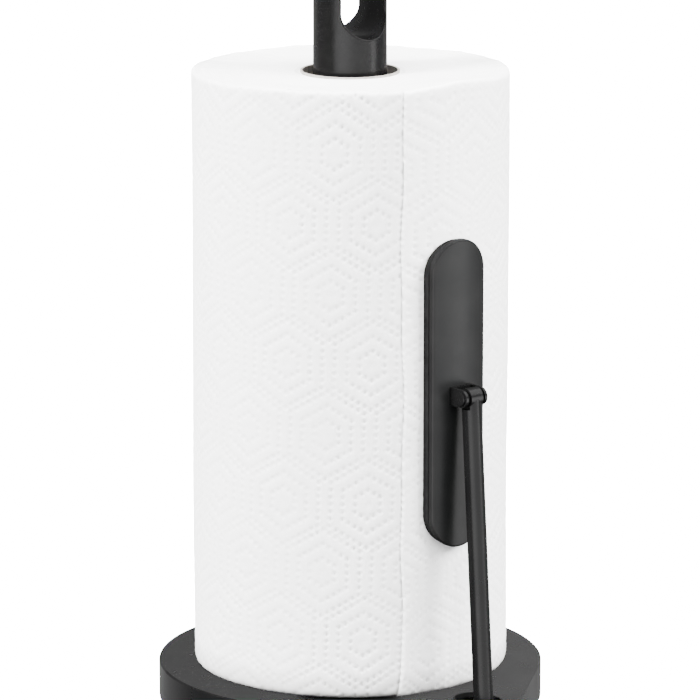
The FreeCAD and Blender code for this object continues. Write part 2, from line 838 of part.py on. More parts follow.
def make_torsion_spring():
    """One wire: a coil each side of the hub, joined by a bridge across the rod's outer side."""
    wire, outer, turns = dim("wire_radius"), dim("spring_outer_y"), dim("spring_turns")
    width = outer - dim("spring_inner_y")
    helix = Part.makeHelix(width / turns, width, dim("spring_radius"))
    # the coil starts lowest at the ear, turns outward and up, and ends beside the hub
    lay = Rotation(Vector(0, 0, -1), Vector(1, 0, 0), Vector(0, -1, 0), "XYZ")
    helix.Placement = Placement(Vector(0, outer, 0), lay)
    coil = helix.Edges[0]
    start, finish = (coil.valueAt(end) for end in coil.ParameterRange)
    foot_way, lift_way = (coil.tangentAt(end) for end in coil.ParameterRange)
    foot = start - foot_way * dim("spring_leg")
    crown = finish + lift_way * dim("spring_rise")
    route = Part.Wire(
        [
            Part.LineSegment(foot, start).toShape(),
            coil,
            Part.LineSegment(finish, crown).toShape(),
        ]
    )
    section = Part.Wire([Part.Circle(foot, foot_way, wire).toShape()])
    half = route.makePipeShell([section], True, True)
    other = half.mirror(Vector(0, 0, 0), Vector(0, 1, 0))
    bridge = Part.makeCylinder(wire, 2 * crown.y, crown, Vector(0, -1, 0))
    spring = doc.addObject("Part::Feature", "Spring")
    spring.Shape = half.fuse([bridge, other])
    spring.Placement = Placement(Vector(dim("pivot_x"), 0, dim("pivot_z")), Rotation())
    keep(spring, "arm_torsion_spring")


def make_arm_rod():
    """Steel rod leaning in from the hub, flattened at its top to a tongue with a round eye."""
    start = dim("neck_length")
    reach = "(Dims.eye_z - Dims.pivot_z) / cos(Dims.arm_lean * 1 deg)"
    rod = doc.addObject("Part::Cylinder", "Rod")
    rod.setExpression("Radius", "Dims.rod_radius")
    rod.setExpression("Height", f"{reach} - Dims.neck_length")
    rod.Placement = lean_placement(start)
    spigot = doc.addObject("Part::Cylinder", "Spigot")
    spigot.setExpression("Radius", "Dims.spigot_radius")
    spigot.setExpression("Height", "Dims.spigot_length + Dims.cut_margin")
    spigot.Placement = lean_placement(start - dim("spigot_length"))
    half = "Dims.tongue_half_thickness"
    flats = []
    for inner_face in (dim("tongue_half_thickness"), -dim("tongue_half_thickness") - dim("rod_radius")):
        flat = doc.addObject("Part::Box", "Flat")
        flat.setExpression("Length", "2 * (Dims.rod_radius + Dims.cut_margin)")
        flat.setExpression("Width", "Dims.rod_radius")
        flat.setExpression("Height", "Dims.tongue_reach + Dims.cut_margin")
        corner = Vector(-dim("rod_radius") - dim("cut_margin"), inner_face, 0)
        flat.Placement = lean_placement(value_of(f"{reach} - Dims.tongue_reach")) * Placement(
            corner, Rotation()
        )
        flats.append(flat)
    eye = cylinder("Dims.rod_radius", f"2 * {half}", PIN_X, f"-{half}", "Dims.eye_z", "Y")
    bore = cylinder(
        "Dims.eye_bush_radius",
        f"2 * ({half} + Dims.cut_margin)",
        PIN_X,
        f"-{half} - Dims.cut_margin",
        "Dims.eye_z",
        "Y",
    )
    keep(cut(fuse(cut(rod, fuse(*flats)), spigot, eye), bore), "arm_rod")
    side = "Dims.eye_bush_half_length"
    bush = cut(
        cylinder("Dims.eye_bush_radius", f"2 * {side}", PIN_X, f"-{side}", "Dims.eye_z", "Y"),
        cylinder("Dims.eye_bush_bore_radius", f"2 * {side}", PIN_X, f"-{side}", "Dims.eye_z", "Y"),
    )
    keep(bush, "rod_eye_bush")


# --- pad ---------------------------------------------------------------------------------------------


def make_curved_pad(label, half_width, half_length, inner, outer, rounding=None):
    """A long round-ended plate, bent to lie round the roll between two radii."""
    body = new_body(label)
    outline = new_sketch(body, "YZ_Plane", "Dims.core_outer_radius")
    reach = f"({half_length} - {half_width})"
    add_capsule(
        outline, f"Dims.eye_z - {reach}", f"Dims.eye_z + {reach}", half_width, upright=True
    )
    add_feature(body, "Pad", outline, "Dims.roll_radius")
    bottom = f"Dims.eye_z - {half_length} - Dims.cut_margin"
    top = f"Dims.eye_z + {half_length} + Dims.cut_margin"
    beyond = new_sketch(body, "XZ_Plane")
    add_rectangle(beyond, outer, "2 * Dims.roll_radius", bottom, top)
    turn_feature(body, "Groove", beyond, "Z_Axis")
    within = new_sketch(body, "XZ_Plane")
    add_rectangle(within, "0", inner, bottom, top)
    turn_feature(body, "Groove", within, "Z_Axis")
    front = value_of(outer)
    if rounding is not None:
        round_edges(
            body,
            rounding,
            lambda edge: all(
                abs(math.hypot(corner.Point.x, corner.Point.y) - front) < CLOSE
                for corner in edge.Vertexes
            ),
        )
    return body


def make_pad():
    """Soft liner against the paper, and the metal shell over it."""
    make_curved_pad(
        "pad_liner",
        "Dims.liner_half_width",
        "Dims.liner_half_length",
        "Dims.liner_inner_radius",
        "Dims.shell_inner_radius",
    )
    shell = make_curved_pad(
        "pad_shell",
        "Dims.shell_half_width",
        "Dims.shell_half_length",
        "Dims.shell_inner_radius",
        "Dims.shell_outer_radius",
        "Dims.shell_edge",
    )
    rivet_holes = new_sketch(shell, "YZ_Plane")
    for side in ("-", ""):
        add_circle(rivet_holes, side + "Dims.rivet_side", "Dims.eye_z", "Dims.rivet_radius")
    add_feature(shell, "Pocket", rivet_holes, "Dims.clevis_web", reverse=True)


def make_pad_clevis():
    """Two round-ended ears on a web that is curved to the shell's face."""
    body = new_body("pad_clevis")
    profile = new_sketch(body, "XZ_Plane")
    profile.setExpression("AttachmentOffset.Base.y", "Dims.eye_z")
    add_capsule(profile, "Dims.shell_inner_radius", PIN_X, "Dims.clevis_radius")
    add_feature(body, "Pad", profile, "2 * Dims.clevis_outer", middle=True)
    gap = new_sketch(body, "XZ_Plane")
    add_rectangle(
        gap,
        "Dims.clevis_web",
        "Dims.pivot_x",
        "Dims.eye_z - Dims.clevis_radius - Dims.cut_margin",
        "Dims.eye_z + Dims.clevis_radius + Dims.cut_margin",
    )
    add_feature(body, "Pocket", gap, "2 * Dims.clevis_inner", middle=True)
    pin_hole = new_sketch(body, "XZ_Plane")
    add_circle(pin_hole, PIN_X, "Dims.eye_z", "Dims.pin_radius")
    add_feature(body, "Pocket", pin_hole, through=True, middle=True)
    rivet_holes = new_sketch(body, "YZ_Plane")
    for side in ("-", ""):
        add_circle(rivet_holes, side + "Dims.rivet_side", "Dims.eye_z", "Dims.rivet_radius")
    add_feature(body, "Pocket", rivet_holes, "Dims.clevis_web", reverse=True)
    seat = new_sketch(body, "XZ_Plane")
    add_rectangle(
        seat,
        "0",
        "Dims.shell_outer_radius",
        "Dims.eye_z - 2 * Dims.clevis_radius",
        "Dims.eye_z + 2 * Dims.clevis_radius",
    )
    turn_feature(body, "Groove", seat, "Z_Axis")


def make_clevis_rivets():
    """Two flush rivets through the shell and the clevis's web."""
    rivets = []
    for side in ("-", ""):
        rivets.append(
            cylinder(
                "Dims.rivet_radius",
                "Dims.clevis_web - Dims.shell_inner_radius",
                "Dims.shell_inner_radius",
                side + "Dims.rivet_side",
                "Dims.eye_z",
                "X",
            )
        )
    group(rivets, "clevis_rivets")


def make_pad_pin():
    """Headed pin through the clevis and the rod's eye, held by a clip."""
    head_seat = "-Dims.clevis_outer"
    shank = cylinder(
        "Dims.pin_radius",
        "Dims.pin_end + Dims.clevis_outer",
        PIN_X,
        head_seat,
        "Dims.eye_z",
        "Y",
    )
    head = cylinder(
        "Dims.pin_head_radius",
        "Dims.pin_head_height",
        PIN_X,
        head_seat + " - Dims.pin_head_height",
        "Dims.eye_z",
        "Y",
    )
    doc.recompute()
    domed = doc.addObject("Part::Fillet", "HeadEdge")
    domed.Base = head
    size = dim("pin_head_height") / 2
    outer_edge = min(
        (edge for edge in head.Shape.Edges if edge.Curve.TypeId == "Part::GeomCircle"),
        key=lambda edge: edge.CenterOfMass.y,
    )
    number = next(
        i for i, edge in enumerate(head.Shape.Edges, start=1) if edge.isSame(outer_edge)
    )
    domed.Edges = [(number, size, size)]
    place = (PIN_X, "Dims.clevis_outer", "Dims.eye_z", "Y")
    groove = cut(
        cylinder("Dims.pin_radius + Dims.cut_margin", "Dims.pin_clip_thickness", *place),
        cylinder("Dims.pin_groove_radius", "Dims.pin_clip_thickness", *place),
    )
    keep(cut(fuse(shank, domed), groove), "pad_pin")
    ring = cut(
        cylinder("Dims.pin_clip_radius", "Dims.pin_clip_thickness", *place),
        cylinder("Dims.pin_groove_radius", "Dims.pin_clip_thickness", *place),
    )
    mouth = box(
        f"{PIN_X} - Dims.pin_groove_radius",
        f"{PIN_X} + Dims.pin_groove_radius",
        "Dims.clevis_outer",
        "Dims.clevis_outer + Dims.pin_clip_thickness",
        "Dims.eye_z - Dims.pin_clip_radius - Dims.cut_margin",
        "Dims.eye_z",
    )
    keep(cut(ring, mouth), "pad_pin_clip")


# --- roll of paper towels ----------------------------------------------------------------------------


def make_ring(label, inner, outer):
    body = new_body(label)
    ring = new_sketch(body, "XY_Plane", "Dims.roll_bottom")
    add_circle(ring, None, None, outer)
    add_circle(ring, None, None, inner)
    add_feature(body, "Pad", ring, "Dims.roll_height")


def make_loose_sheet():
    """The outermost sheet, whose free edge stands on the roll's side."""
    body = new_body("loose_outer_sheet")
    section = new_sketch(body, "XZ_Plane")
    add_rectangle(
        section,
        "Dims.sheet_inner_radius",
        "Dims.sheet_outer_radius",
        "Dims.roll_bottom",
        "Dims.roll_bottom + Dims.roll_height",
    )
    wrap = turn_feature(body, "Revolution", section, "Z_Axis")
    wrap.setExpression("Angle", "Dims.sheet_wrap")
    body.Placement = Placement(
        Vector(0, 0, 0), Rotation(Vector(0, 0, 1), dim("sheet_start_angle"))
    )


def build():
    make_base_cover()
    make_ballast_plate()
    make_bottom_plate()
    make_foot_mat()
    make_bottom_screws()
    make_slot_collar()
    make_spindle_tube()
    make_insert(
        "lower_tube_insert", "Dims.base_top", "Dims.lower_insert_height", "Dims.bolt_radius"
    )
    make_insert(
        "upper_tube_insert",
        "Dims.tube_top - Dims.upper_insert_height",
        "Dims.upper_insert_height",
        "Dims.stud_radius",
    )
    make_finial()
    make_centre_bolt()
    make_washers()
    make_pivot_bracket()
    make_bracket_screws()
    make_pivot_shaft()
    make_arm_hub()
    make_pivot_bushes()
    make_torsion_spring()
    make_arm_rod()
    make_pad()
    make_pad_clevis()
    make_clevis_rivets()
    make_pad_pin()
    make_ring("cardboard_core", "Dims.core_inner_radius", "Dims.core_outer_radius")
    make_ring("paper_roll", "Dims.core_outer_radius", "Dims.roll_radius")
    make_loose_sheet()


def write_parts():
    """Check every object of the document, then write one file for each sub-part."""
    doc.recompute()
    for item in doc.Objects:
        if "Invalid" in item.State or "Error" in item.State:
            raise ValueError(f"{item.Name} ({item.Label}) failed: {item.State}")
    for piece in sub_parts:
        if piece.Shape.isNull() or not piece.Shape.isValid():
            raise ValueError(f"{piece.Label} has no valid shape")
    os.makedirs("parts", exist_ok=True)
    for piece in sub_parts:
        piece.Shape.exportStep(f"parts/{piece.Label}.step")
        solids = len(piece.Shape.Solids)
        print(f"{piece.Label}: {solids} solid(s), {piece.Shape.Volume:.1f} mm3")


build()
write_parts()
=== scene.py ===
"""Looks of the paper towel holder, in metres and in the CAD frame.

+Z is up, +X points from the spindle to the arm, and the spindle's axis passes through the origin.
"""

import math

import bpy
import numpy as np
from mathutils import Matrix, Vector


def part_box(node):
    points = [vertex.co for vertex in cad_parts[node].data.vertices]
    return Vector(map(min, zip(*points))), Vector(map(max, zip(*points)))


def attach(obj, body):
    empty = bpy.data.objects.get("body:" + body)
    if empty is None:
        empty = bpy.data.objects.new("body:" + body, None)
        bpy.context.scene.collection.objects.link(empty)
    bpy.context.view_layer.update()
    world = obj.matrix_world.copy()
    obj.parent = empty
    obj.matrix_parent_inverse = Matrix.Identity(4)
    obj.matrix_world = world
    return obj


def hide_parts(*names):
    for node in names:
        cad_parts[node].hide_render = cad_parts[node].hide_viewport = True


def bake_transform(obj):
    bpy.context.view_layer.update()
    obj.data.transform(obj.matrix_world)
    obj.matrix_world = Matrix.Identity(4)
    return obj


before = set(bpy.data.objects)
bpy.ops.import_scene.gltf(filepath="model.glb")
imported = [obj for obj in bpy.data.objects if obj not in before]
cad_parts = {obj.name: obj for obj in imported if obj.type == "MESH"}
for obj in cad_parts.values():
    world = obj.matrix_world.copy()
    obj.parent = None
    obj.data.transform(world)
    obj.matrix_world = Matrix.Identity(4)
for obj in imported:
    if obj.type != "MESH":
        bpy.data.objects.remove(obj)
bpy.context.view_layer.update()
rng = np.random.default_rng(7)
MM = 0.001


def node_box(name):
    """Lowest and highest corners of a CAD node."""
    low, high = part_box(name)
    return Vector(low), Vector(high)


# --- places read from the frame ---------------------------------------------------------------

roll_low, roll_high = node_box("paper_roll")
core_high = node_box("cardboard_core")[1]
sheet_high = node_box("loose_outer_sheet")[1]
base_high = node_box("base_cover")[1]

roll_bottom = roll_low.z
roll_top = roll_high.z
roll_radius = roll_high.x
core_radius = core_high.x
sheet_radius = sheet_high.y
base_top = base_high.z

# where the loose sheet begins and ends round the roll, in degrees from +X
SHEET_START = -20.5
SHEET_END = 197.6

# embossed pattern: rings of dots on a triangular lattice, three rings to a medallion
DOT_PITCH = 3.39 * MM
COLUMN_PITCH = 2.814 * MM
FINE = 3  # mesh steps from one dot to the next
MEDALLION_COLUMNS = 14
MEDALLION_ROWS = 9.5
RINGS = (2, 4, 6)
DOT_DEPTH = 0.74 * MM
QUILT_DEPTH = 0.055 * MM  # the paper sinks along each ring and puffs between them
LEAN = 0.031  # the pattern's columns drift this much per unit of height

FRONT = -39.0  # the side of the roll that faces the camera, in degrees from +X
SLIPPED = 7.0  # where the outer wraps have slipped up most, by the pad, in degrees from +X
FRONT_RISE = 2.0 * MM
SLIPPED_RISE = 1.9 * MM
RISE_REACH = 30 * MM  # how far down the roll the raised rim is felt
LEAN_FADE = 18 * MM
EDGE_FADE = 14 * MM
FIBRE_NOISE = 0.02 * MM
SIDE_MEDALLION = (-47.0, 0.2075)  # angle and height of one medallion's centre
SHEET_MEDALLION = (-7.0, 0.2325)
UNDER_FAR_END = 4  # degrees of the roll's own side that lie under each end of the loose sheet
UNDER_FREE_EDGE = 16
WOUND_PITCH = 1.15 * MM  # spacing of the wound layers seen on the roll's ends
WOUND_DEPTH = 0.14 * MM
END_NOISE = 0.03 * MM
END_OVERLAP = 0.85  # share of the rim's round at which an end's disc stops
EDGE_LIFT = 0.8 * MM  # how far the loose sheet springs off the roll at its free edge
CORNER_LIFT = 1.2 * MM  # and at its curled lower corner
CORNER_PULL = 3.4 * MM
# painted shade: a grey blended into all the tissue near the roll's foot, for the shadow of the
# black base
FOOT_SHADE_GREY = (0.42, 0.42, 0.41)
FOOT_SHADE_REACH = 13 * MM
RIM_ROUND = 1.6 * MM
FOOT_ROUND = 3.0 * MM


# --- small node helpers ---------------------------------------------------------------------


class Shader:
    """A Principled material built up from procedural nodes."""

    def __init__(self, name, colour, roughness, metallic=0.0, specular=0.5):
        self.material = bpy.data.materials.new(name)
        self.material.use_nodes = True
        self.tree = self.material.node_tree
        self.surface = self.tree.nodes["Principled BSDF"]
        self.surface.inputs["Base Color"].default_value = (*colour, 1)
        self.surface.inputs["Roughness"].default_value = roughness
        self.surface.inputs["Metallic"].default_value = metallic
        self.surface.inputs["Specular IOR Level"].default_value = specular
        self.place = self.tree.nodes.new("ShaderNodeTexCoord").outputs["Object"]
        self.bumps = None

    def node(self, kind, **values):
        made = self.tree.nodes.new(kind)
        for key, value in values.items():
            setattr(made, key, value)
        return made

    def link(self, source, target):
        self.tree.links.new(source, target)

    def stretched(self, scale):
        mapping = self.node("ShaderNodeMapping")
        mapping.inputs["Scale"].default_value = scale
        self.link(self.place, mapping.inputs["Vector"])
        return mapping.outputs["Vector"]

    def noise(self, scale, detail=4.0, rough=0.5, stretch=None):
        texture = self.node("ShaderNodeTexNoise")
        texture.inputs["Scale"].default_value = scale
        texture.inputs["Detail"].default_value = detail
        texture.inputs["Roughness"].default_value = rough
        self.link(self.stretched(stretch) if stretch else self.place, texture.inputs["Vector"])
        return texture.outputs["Fac"]

    def cells(self, scale, stretch=None):
        texture = self.node("ShaderNodeTexVoronoi")
        texture.inputs["Scale"].default_value = scale
        self.link(self.stretched(stretch) if stretch else self.place, texture.inputs["Vector"])
        return texture.outputs["Distance"]

    def spread(self, source, low, high, from_low=0.3, from_high=0.7):
        """Map a value's middle range onto low to high."""
        mapped = self.node("ShaderNodeMapRange")
        mapped.inputs["From Min"].default_value = from_low
        mapped.inputs["From Max"].default_value = from_high
        mapped.inputs["To Min"].default_value = low
        mapped.inputs["To Max"].default_value = high
        self.link(source, mapped.inputs["Value"])
        return mapped.outputs["Result"]

    def tint(self, source, first, second, from_low=0.3, from_high=0.7):
        """Colour between two tints by a value."""
        mix = self.node("ShaderNodeMix", data_type="RGBA")
        mix.inputs["A"].default_value = (*first, 1)
        mix.inputs["B"].default_value = (*second, 1)
        self.link(self.spread(source, 0, 1, from_low, from_high), mix.inputs["Factor"])
        self.link(mix.outputs["Result"], self.surface.inputs["Base Color"])

    def roughness(self, source, low, high):
        self.link(self.spread(source, low, high), self.surface.inputs["Roughness"])

    def bump(self, source, distance, strength=1.0):
        """Add relief of a real depth in metres; calls stack."""
        bump = self.node("ShaderNodeBump")
        bump.inputs["Distance"].default_value = distance
        bump.inputs["Strength"].default_value = strength
        self.link(source, bump.inputs["Height"])
        if self.bumps is not None:
            self.link(self.bumps, bump.inputs["Normal"])
        self.bumps = bump.outputs["Normal"]
        self.link(self.bumps, self.surface.inputs["Normal"])


# --- materials ------------------------------------------------------------------------------


def powder_coat(name, black, gloss, specular):
    """Satin black baked powder: a fine pebbled skin with faint cloudy sheen."""
    coat = Shader(name, (black, black, black), gloss, specular=specular)
    deep, faded = 0.82 * black, 1.2 * black
    coat.tint(coat.noise(60, 5), (deep, deep, 1.03 * deep), (faded, faded, faded))
    coat.roughness(coat.noise(35, 6, 0.6), 0.88 * gloss, 1.14 * gloss)
    coat.bump(coat.noise(1400, 3, 0.5), 0.000012)
    coat.bump(coat.cells(900), 0.000008)
    return coat.material


def black_plastic():
    """Moulded black plastic with a spark-eroded grain."""
    plastic = Shader("black_moulded_plastic", (0.004, 0.004, 0.004), 0.55, specular=0.25)
    plastic.tint(plastic.noise(300, 4), (0.003, 0.003, 0.003), (0.0055, 0.0055, 0.0055))
    plastic.roughness(plastic.noise(200, 3), 0.5, 0.62)
    plastic.bump(plastic.noise(2600, 2), 0.00002)
    return plastic.material


def black_rubber():
    """Matt rubber with a fine open grain."""
    rubber = Shader("black_rubber", (0.005, 0.005, 0.005), 0.8, specular=0.2)
    rubber.tint(rubber.noise(150, 6, 0.6), (0.003, 0.003, 0.003), (0.008, 0.008, 0.008))
    rubber.roughness(rubber.noise(90, 4), 0.72, 0.9)
    rubber.bump(rubber.cells(1600), 0.00004)
    return rubber.material


def plated_steel():
    """Zinc plated steel: bright grey with drawn scratches and a cloudy plate."""
    steel = Shader("zinc_plated_steel", (0.6, 0.61, 0.63), 0.32, metallic=1.0)
    steel.tint(steel.noise(90, 5), (0.50, 0.51, 0.54), (0.68, 0.68, 0.66))
    steel.roughness(steel.noise(220, 4, 0.6, (1, 1, 8)), 0.24, 0.42)
    steel.bump(steel.noise(900, 3, 0.5, (8, 1, 1)), 0.00001)
    return steel.material


def spring_steel():
    """Oiled spring wire, darker than the plate."""
    wire = Shader("spring_steel", (0.25, 0.25, 0.26), 0.35, metallic=1.0)
    wire.tint(wire.noise(250, 4), (0.16, 0.16, 0.17), (0.34, 0.33, 0.32))
    wire.roughness(wire.noise(400, 3), 0.28, 0.45)
    wire.bump(wire.noise(1800, 2), 0.00001)
    return wire.material


def cast_iron():
    """Raw sand-cast iron."""
    iron = Shader("raw_cast_iron", (0.07, 0.07, 0.072), 0.75, metallic=0.6)
    iron.tint(iron.noise(70, 6, 0.65), (0.045, 0.044, 0.045), (0.11, 0.10, 0.095))
    iron.roughness(iron.noise(160, 4), 0.65, 0.9)
    iron.bump(iron.noise(500, 6, 0.7), 0.0002)
    return iron.material


def nylon():
    """Natural nylon of the bushes."""
    bush = Shader("natural_nylon", (0.75, 0.73, 0.66), 0.45)
    bush.tint(bush.noise(200, 3), (0.70, 0.68, 0.60), (0.80, 0.78, 0.72))
    bush.roughness(bush.noise(300, 3), 0.38, 0.52)
    bush.bump(bush.noise(1500, 2), 0.00001)
    return bush.material


def cardboard():
    """Grey-brown spiral-wound core board with fibres, its colour painted darker as the shade inside
    the core.
    """
    board = Shader("core_cardboard", (0.26, 0.245, 0.225), 0.92, specular=0.2)
    # painted shade: both tints are set darker than the board's own grey-brown, for the dark inside
    # of the core
    board.tint(board.noise(700, 6, 0.65, (1, 1, 0.3)), (0.18, 0.17, 0.155), (0.34, 0.32, 0.295))
    board.roughness(board.noise(500, 3), 0.85, 1.0)
    board.bump(board.noise(1300, 5, 0.6, (1, 1, 0.25)), 0.00008)
    return board.material


def tissue(name, bright, dull):
    """Soft white tissue: crepe lines, loose fibres, a faint mottle and a foot painted grey as the
    shadow of the black base.
    """
    paper = Shader(name, bright, 0.95, specular=0.15)
    paper.tint(paper.noise(240, 6, 0.6), dull, bright, 0.25, 0.75)
    mottled = paper.surface.inputs["Base Color"].links[0].from_socket
    level = paper.node("ShaderNodeSeparateXYZ")
    paper.link(paper.place, level.inputs["Vector"])
    # painted shade: the tissue turns grey over the lowest millimetres of the roll, for the base's
    # shadow
    foot_shaded = paper.node("ShaderNodeMix", data_type="RGBA")
    foot_shaded.inputs["A"].default_value = (*FOOT_SHADE_GREY, 1)
    paper.link(mottled, foot_shaded.inputs["B"])
    unshaded = paper.spread(level.outputs["Z"], 0, 1, roll_bottom, roll_bottom + FOOT_SHADE_REACH)
    paper.link(unshaded, foot_shaded.inputs["Factor"])
    paper.link(foot_shaded.outputs["Result"], paper.surface.inputs["Base Color"])
    paper.roughness(paper.noise(500, 3), 0.9, 1.0)
    paper.bump(paper.noise(900, 5, 0.6, (1, 1, 3.5)), 0.00012, 0.6)
    paper.bump(paper.noise(2600, 4, 0.7), 0.00006, 0.5)
    return paper.material


coat = powder_coat("black_powder_coat", 0.0027, 0.26, 0.3)
# painted light: the frame's black powder coat with a lighter base colour, to lift the shade the rod
# throws in the pad's reflection
pad_coat_painted_light = powder_coat("black_pad_coat", 0.0065, 0.31, 0.24)
plastic = black_plastic()
towel = tissue("towel_tissue", (0.87, 0.87, 0.865), (0.80, 0.80, 0.797))
# painted light: the loose sheet is the roll's own tissue, painted lighter for the brighter light it
# catches beside its free edge
loose_towel_painted_light = tissue("loose_towel_tissue", (0.95, 0.95, 0.945), (0.90, 0.90, 0.897))
towel_ends = tissue("towel_roll_ends", (0.88, 0.88, 0.875), (0.80, 0.80, 0.795))

FINISHES = {
    "base_cover": coat,
    "spindle_tube": coat,
    "finial_with_eye": coat,
    "arm_rod": coat,
    "pad_shell": pad_coat_painted_light,
    "pad_clevis": coat,
    "clevis_rivets": coat,
    "pad_pin": coat,
    "pad_pin_clip": coat,
    "ballast_weight": cast_iron(),
    "slot_collar": plastic,
    "rod_eye_bush": plastic,
    "cardboard_core": cardboard(),
}
rubber = black_rubber()
steel = plated_steel()
wire = spring_steel()
FINISHES.update({name: rubber for name in ("non_slip_foot_mat", "pad_liner")})
FINISHES.update(
    {name: wire for name in ("arm_torsion_spring", "pivot_shaft_clips", "centre_lock_washer")}
)
FINISHES["pivot_bushes"] = nylon()

for name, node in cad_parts.items():
    material = FINISHES.get(name, steel)
    node.data.materials.clear()
    node.data.materials.append(material)


# --- roll of paper towels -------------------------------------------------------------------


def mesh_piece(name, points, faces, material, body, replaced):
    """A smooth piece from arrays of points and triangles or quads."""
    mesh = bpy.data.meshes.new(name)
    mesh.from_pydata(points.tolist(), [], faces.tolist())
    mesh.update()
    mesh.shade_smooth()
    mesh.materials.append(material)
    piece = bpy.data.objects.new(name, mesh)
    bpy.context.scene.collection.objects.link(piece)
    if body:
        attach(piece, body)
    if replaced:
        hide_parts(*replaced)
    return piece


def smooth_step(value):
    value = np.clip(value, 0, 1)
    return value * value * (3 - 2 * value)


def medallions(column, half_rows):
    """Which mesh points are dots, and how far each point is from its medallion, in dots.

    half_rows counts half mesh steps up from a medallion's centre.
    """
    on_lattice = (column % FINE == 0) & (half_rows % (2 * FINE) == FINE * (column // FINE % 2))
    row_step = int(2 * FINE * MEDALLION_ROWS)
    nearest = np.full(column.shape, np.inf)
    for shift in (-1, 0, 1):
        row = np.round(half_rows / row_step).astype(int) + shift
        offset = column / FINE - row * (MEDALLION_COLUMNS // 2)
        across = np.abs(offset - MEDALLION_COLUMNS * np.round(offset / MEDALLION_COLUMNS))
        up = np.abs(half_rows - row * row_step) / (2 * FINE)
        nearest = np.minimum(nearest, np.maximum(across, across / 2 + up))
    ring = np.zeros(column.shape, bool)
    for size in RINGS:
        ring |= np.abs(nearest - size) < 0.01
    return on_lattice & ring, nearest


def undulation(angle, height):
    """Slow hollows and swellings of a hand-handled roll."""
    return (
        0.16 * np.sin(3 * angle + 17 * height + 0.4)
        + 0.12 * np.sin(7 * angle - 31 * height + 1.9)
        + 0.07 * np.sin(13 * angle + 58 * height)
    ) * MM


def pressed(angle, height):
    """How much of its embossing the paper keeps: handling has flattened it in places."""
    return (
        0.95
        + 0.22 * np.sin(5 * angle + 37 * height + 0.7) * np.sin(61 * height - 3 * angle)
        + 0.16 * np.sin(17 * angle - 90 * height + 1.2)
    )


def rim_rise(angle):
    """How far the outer wraps stand above the roll's top: most at the front and by the pad."""
    turned = np.degrees(angle)
    front = (0.5 + 0.5 * np.cos(np.radians(turned - FRONT))) ** 1.5
    slipped = np.exp(-((((turned - SLIPPED + 180) % 360 - 180) / 15) ** 2))
    waves = 0.20 * np.sin(5 * angle + 0.8) + 0.14 * np.sin(11 * angle + 2.1)
    waves = waves + 0.10 * np.sin(27 * angle + 0.3) + 0.07 * np.sin(53 * angle + 1.7)
    return FRONT_RISE * front + SLIPPED_RISE * slipped + waves * MM


def roll_over(away, reach):
    """Inward drop of a surface that turns over a rim, by distance from the rim."""
    left = np.clip(1 - away / reach, 0, 1)
    return reach * (1 - np.sqrt(1 - left ** 2))


def embossed_wrap(start, end, radius, medallion, edge=None, lift=None):
    """A stretch of embossed paper round the roll, from one angle to another, in degrees.

    medallion is the angle and height of one medallion's centre. edge moves the start with height,
    and lift raises the paper off the roll by distance from the start and height.
    """
    column_step = COLUMN_PITCH / FINE
    row_step = DOT_PITCH / FINE
    arc_start, arc_end = math.radians(start) * radius, math.radians(end) * radius
    anchor = math.radians(medallion[0]) * radius
    first = math.ceil((arc_start - anchor) / column_step)
    last = math.floor((arc_end - anchor) / column_step)
    columns = np.arange(first, last + 1)
    low = math.floor((roll_bottom - medallion[1]) / row_step)
    high = math.ceil((roll_top - medallion[1]) / row_step)
    rows = np.arange(low, high + 1)
    column, row = np.meshgrid(columns, rows, indexing="ij")
    half_rows = 2 * row + (column % 2)
    height = np.clip(medallion[1] + half_rows * row_step / 2, roll_bottom, roll_top)
    arc = anchor + column * column_step
    free = smooth_step(np.minimum(arc - arc_start, arc_end - arc) / LEAN_FADE)
    middle = (roll_bottom + roll_top) / 2
    arc = arc + LEAN * (height - middle) * free
    from_start = arc - arc_start
    if edge is not None:
        arc = arc + edge(height) * (1 - smooth_step(from_start / EDGE_FADE))
    angle = arc / radius
    depth = DOT_DEPTH * (0.75 + 0.5 * rng.random(column.shape))
    dots, nearest = medallions(column, half_rows)
    relief = -depth * dots - QUILT_DEPTH * np.cos(math.pi * nearest)
    relief = relief * pressed(angle, height)
    relief += rng.normal(0, FIBRE_NOISE, column.shape)
    rim = roll_over(roll_top - height, RIM_ROUND) + roll_over(height - roll_bottom, FOOT_ROUND)
    distance = radius + relief + undulation(angle, height) - rim
    if lift is not None:
        distance = distance + lift(from_start, height)
    near_top = smooth_step((height - roll_top + RISE_REACH) / RISE_REACH)
    height = height + rim_rise(angle) * near_top
    points = np.stack(
        [distance * np.cos(angle), distance * np.sin(angle), height], axis=-1
    ).reshape(-1, 3)
    count = len(rows)
    index = np.arange(len(columns) * count).reshape(len(columns), count)
    here, above = index[:-1, :-1], index[:-1, 1:]
    beside, beside_above = index[1:, :-1], index[1:, 1:]
    even = (columns[:-1] % 2 == 0)[:, None, None]
    flat = [np.stack(corners, axis=-1) for corners in (
        (here, beside, above),
        (above, beside, beside_above),
        (here, beside, beside_above),
        (here, beside_above, above),
    )]
    faces = np.concatenate(
        [
            np.where(even, flat[0], flat[2]).reshape(-1, 3),
            np.where(even, flat[1], flat[3]).reshape(-1, 3),
        ]
    )
    return points, faces


